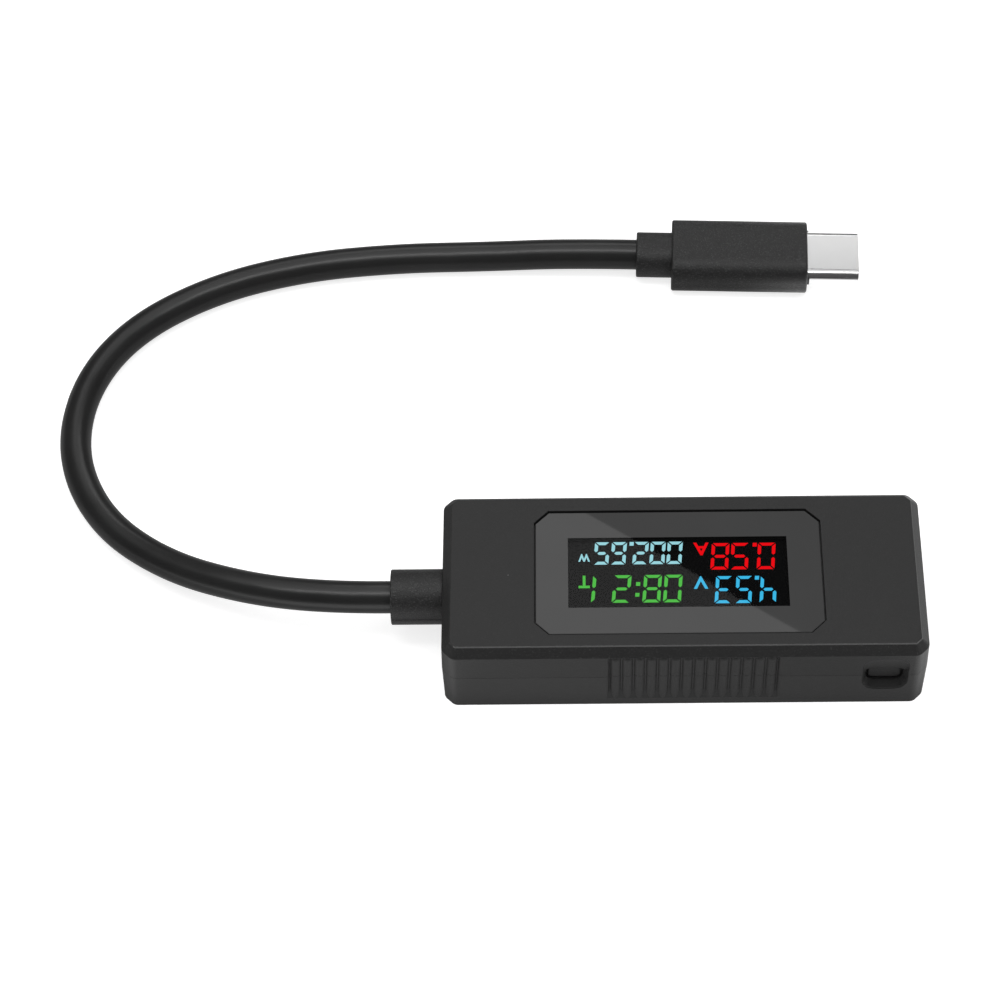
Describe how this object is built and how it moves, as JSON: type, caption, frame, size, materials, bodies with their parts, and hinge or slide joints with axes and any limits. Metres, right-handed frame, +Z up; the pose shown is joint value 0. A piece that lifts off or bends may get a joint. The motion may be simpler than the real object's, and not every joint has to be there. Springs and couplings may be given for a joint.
{
  "type": "usb power meter",
  "caption": "Small inline USB power meter: black snap-together case with a colour display, a ribbed grip and a side button, and a short captive cord with a USB-C plug.",
  "frame": {"origin": "middle of the case's underside, the cord and its gland left out", "axes": "+X along the case towards the socket end, away from the cord; +Z up, out of the display; -Y is the side with the button and the grip"},
  "size_m": [0.1114, 0.0752, 0.012],
  "materials": {
    "case_black": "fine moulded texture",
    "window_dark": "polished",
    "tape_black": "matt",
    "display_glass": "dark",
    "light_guide": "frosted",
    "led_white": "satin",
    "tray_steel": "stamped",
    "flex_amber": "satin",
    "connector_ivory": "moulded",
    "board_green": "solder mask",
    "drawn_steel": "drawn, satin",
    "insulator_black": "moulded",
    "contact_gold": "plated",
    "button_black": "moulded",
    "switch_black": "moulded",
    "shunt_ceramic": "matt",
    "chip_black": "moulded",
    "tinned_metal": "tinned",
    "capacitor_tan": "fired",
    "resistor_black": "fired",
    "wire_red": "satin",
    "wire_black": "satin",
    "wire_green": "satin",
    "wire_white": "satin",
    "moulded_black": "fine grain",
    "cord_black": "smooth, satin"
  },
  "bodies": {
    "root": {"top_shell": "case_black", "bottom_shell": "case_black", "display_window": "window_dark", "window_adhesive": "tape_black", "lcd_panel": "display_glass", "lcd_backlight": "light_guide", "backlight_leds": "led_white", "lcd_frame": "tray_steel", "lcd_flex": "flex_amber", "flex_connector": "connector_ivory", "main_board": "board_green", "socket_shell": "drawn_steel", "socket_insulator": "insulator_black", "socket_contacts": "contact_gold", "switch_housing": "switch_black", "switch_dome": "tray_steel", "shunt_resistor": "shunt_ceramic", "controller_chip": "chip_black", "controller_leads": "tinned_metal", "regulator_chip": "chip_black", "crystal": "tinned_metal", "capacitors": "capacitor_tan", "resistors": "resistor_black", "solder_joints": "tinned_metal", "wire_power": "wire_red", "wire_ground": "wire_black", "wire_data_plus": "wire_green", "wire_data_minus": "wire_white", "strain_relief": "moulded_black", "cable": "cord_black", "plug_overmould": "moulded_black", "plug_inner_mould": "insulator_black", "plug_shell": "drawn_steel", "plug_insulator": "insulator_black", "plug_contacts": "contact_gold", "plug_latches": "tray_steel", "plug_board": "board_green"},
    "button": {"button_cap": "button_black", "switch_plunger": "switch_black"}
  },
  "joints": [
    {"name": "button_press", "type": "slide", "parent": "root", "child": "button", "axis": [0, 1, 0], "range_m": [0, 0.0003], "stiffness_N_per_m": 4000, "deforming": ["switch_dome"]}
  ]
}
